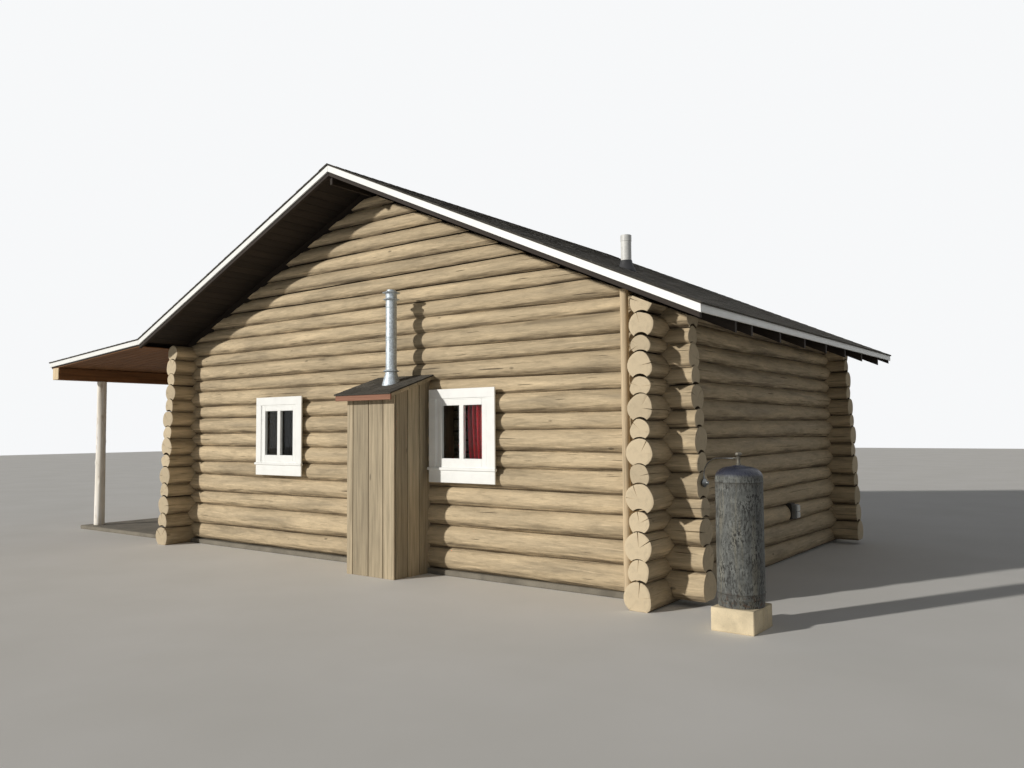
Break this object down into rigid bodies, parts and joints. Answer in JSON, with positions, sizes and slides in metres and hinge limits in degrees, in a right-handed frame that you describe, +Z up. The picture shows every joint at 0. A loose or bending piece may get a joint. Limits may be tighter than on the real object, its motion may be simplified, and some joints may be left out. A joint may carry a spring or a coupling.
{
  "type": "log cabin",
  "caption": "One-storey log cabin with saddle-notched corners, a gable roof, a lean-to porch, a flue chase and a gas cylinder.",
  "frame": {"origin": "on the ground at the centre of the rectangle of the four walls' centre lines, on the floor slab's underside", "axes": "+X along the gable walls towards the side without the porch, +Y from the front gable to the back one, +Z up"},
  "size_m": [11.835, 6.452, 4.673],
  "materials": {
    "stained_logs": "weathered opaque stain",
    "stained_boards": "stained boards",
    "roof_timber": "dark stained timber",
    "porch_timber": "brown timber",
    "peeled_post": "peeled log",
    "white_trim": "white paint",
    "door_boards": "stained boards",
    "shingles": "asphalt shingles",
    "concrete": "concrete",
    "galvanised": "galvanised",
    "white_pipe": "plastic pipe",
    "dark_rubber": "flashing boot",
    "window_glass": "clear",
    "weathered_paint": "worn grey paint",
    "brass": "dull",
    "grey_metal": "dull grey",
    "grey_plastic": "weatherproof box"
  },
  "bodies": {
    "root": {"back_gable_logs_even": "stained_logs", "back_gable_logs_odd": "stained_logs", "barge_rafters": "roof_timber", "chase_box": "stained_boards", "chase_deck": "stained_boards", "chase_fascia": "stained_boards", "chase_shingles": "shingles", "corner_pole": "stained_logs", "cylinder_block": "concrete", "cylinder_valve": "brass", "door_knob": "brass", "door_panel": "door_boards", "fascia_boards": "white_trim", "floor_slab": "concrete", "flue_cap": "galvanised", "flue_flashings": "galvanised", "flue_pipe": "galvanised", "front_gable_logs_even": "stained_logs", "front_gable_logs_odd": "stained_logs", "gas_cylinder": "weathered_paint", "gas_pigtail": "grey_metal", "gas_regulator": "grey_metal", "left_deck": "roof_timber", "left_shingles": "shingles", "main_rafters": "roof_timber", "outlet_box": "grey_plastic", "outlet_pad": "grey_plastic", "porch_beam": "porch_timber", "porch_ceiling": "porch_timber", "porch_deck": "roof_timber", "porch_posts": "peeled_post", "porch_rafters": "porch_timber", "porch_shingles": "shingles", "porch_slab": "concrete", "porch_wall_logs_even": "stained_logs", "porch_wall_logs_odd": "stained_logs", "rake_boards": "white_trim", "ridge_board": "roof_timber", "right_deck": "roof_timber", "right_shingles": "shingles", "right_wall_logs_even": "stained_logs", "right_wall_logs_odd": "stained_logs", "vent_boot": "dark_rubber", "vent_pipe": "white_pipe", "window_and_door_casings": "white_trim", "window_and_door_frames": "white_trim", "window_glass": "window_glass", "window_sashes": "white_trim"}
  },
  "joints": []
}
